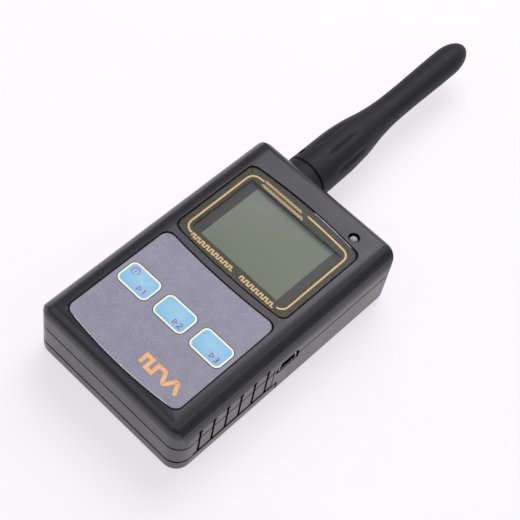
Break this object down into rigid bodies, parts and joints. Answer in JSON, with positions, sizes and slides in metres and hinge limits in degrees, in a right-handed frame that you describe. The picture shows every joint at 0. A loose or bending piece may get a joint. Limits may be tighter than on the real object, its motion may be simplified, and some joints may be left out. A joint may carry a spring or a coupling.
{
  "type": "handheld frequency counter",
  "caption": "Pocket frequency counter: rounded two-part case, display window, pressable keys, USB inlet, sliding battery door and a bayonet whip antenna.",
  "frame": {"origin": "centre of the flat rear face of the case", "axes": "+X to the reader's right, +Y along the case toward the antenna's tip, +Z out of the front panel"},
  "size_m": [0.063, 0.1923, 0.0266],
  "materials": {
    "case_black": "fine satin texture",
    "case_rear": "fine satin texture",
    "lens_clear": "clear polished",
    "overlay": "fine grain",
    "adhesive": "matt",
    "key_cyan": "satin",
    "lcd": "gloss",
    "white_plastic": "satin",
    "elastomer": "matt",
    "board": "solder mask",
    "steel": "bright",
    "black_plastic": "satin",
    "button_tan": "satin",
    "led_clear": "clear",
    "tin": "tin plated",
    "chip_black": "matt",
    "chip_brown": "ceramic",
    "battery_wrap": "foil",
    "foam": "matt foam",
    "wire_red": "satin",
    "wire_black": "satin",
    "nickel": "nickel plated",
    "gold": "gold flash",
    "ptfe": "waxy",
    "copper": "drawn wire",
    "antenna_rubber": "moulded satin",
    "silicone": "silicone"
  },
  "bodies": {
    "case": {"front_cover": "case_black", "rear_cover": "case_rear", "case_screws": "steel", "lens_window": "lens_clear", "lens_adhesive": "adhesive", "keypad_overlay": "overlay", "overlay_adhesive": "adhesive", "lcd_glass": "lcd", "lcd_frame": "white_plastic", "backlight_panel": "white_plastic", "elastomer_strips": "elastomer", "main_board": "board", "board_screws": "steel", "switch_bodies": "black_plastic", "status_led": "led_clear", "led_leads": "tin", "usb_shell": "tin", "usb_tongue": "black_plastic", "shield_can": "tin", "oscillator_can": "tin", "integrated_circuits": "chip_black", "chip_parts": "chip_brown", "battery_header": "white_plastic", "battery_cell": "battery_wrap", "battery_lead_red": "wire_red", "battery_lead_black": "wire_black", "battery_plug": "white_plastic", "jack_body": "nickel", "jack_insulator": "ptfe", "jack_contact": "gold", "jack_nut": "nickel", "jack_washer": "steel", "ground_lug": "gold", "feed_wire": "copper"},
    "antenna_core": {"antenna_ferrule": "nickel", "antenna_insulator": "ptfe", "antenna_pin": "gold", "antenna_gasket": "silicone"},
    "antenna_whip": {"antenna_sheath": "antenna_rubber", "bayonet_collar": "nickel", "antenna_coil": "copper"},
    "battery_door": {"battery_door": "case_rear", "battery_foam": "foam"},
    "key_1": {"key_1": "key_cyan", "switch_button_1": "button_tan"},
    "key_2": {"key_2": "key_cyan", "switch_button_2": "button_tan"},
    "key_3": {"key_3": "key_cyan", "switch_button_3": "button_tan"}
  },
  "joints": [
    {"name": "antenna_pull", "type": "slide", "parent": "case", "child": "antenna_core", "axis": [0, 1, 0], "range_m": [0, 0.03]},
    {"name": "antenna_twist", "type": "hinge", "parent": "antenna_core", "child": "antenna_whip", "pos_m": [-0.01385, 0.06, 0.0133], "axis": [0, 1, 0], "range_deg": [0, 90]},
    {"name": "battery_door_slide", "type": "slide", "parent": "case", "child": "battery_door", "axis": [0, -1, 0], "range_m": [0, 0.05]},
    {"name": "key_1_press", "type": "slide", "parent": "case", "child": "key_1", "axis": [0, 0, -1], "range_m": [0, 0.0003], "stiffness_N_per_m": 5000},
    {"name": "key_2_press", "type": "slide", "parent": "case", "child": "key_2", "axis": [0, 0, -1], "range_m": [0, 0.0003], "stiffness_N_per_m": 5000},
    {"name": "key_3_press", "type": "slide", "parent": "case", "child": "key_3", "axis": [0, 0, -1], "range_m": [0, 0.0003], "stiffness_N_per_m": 5000}
  ]
}
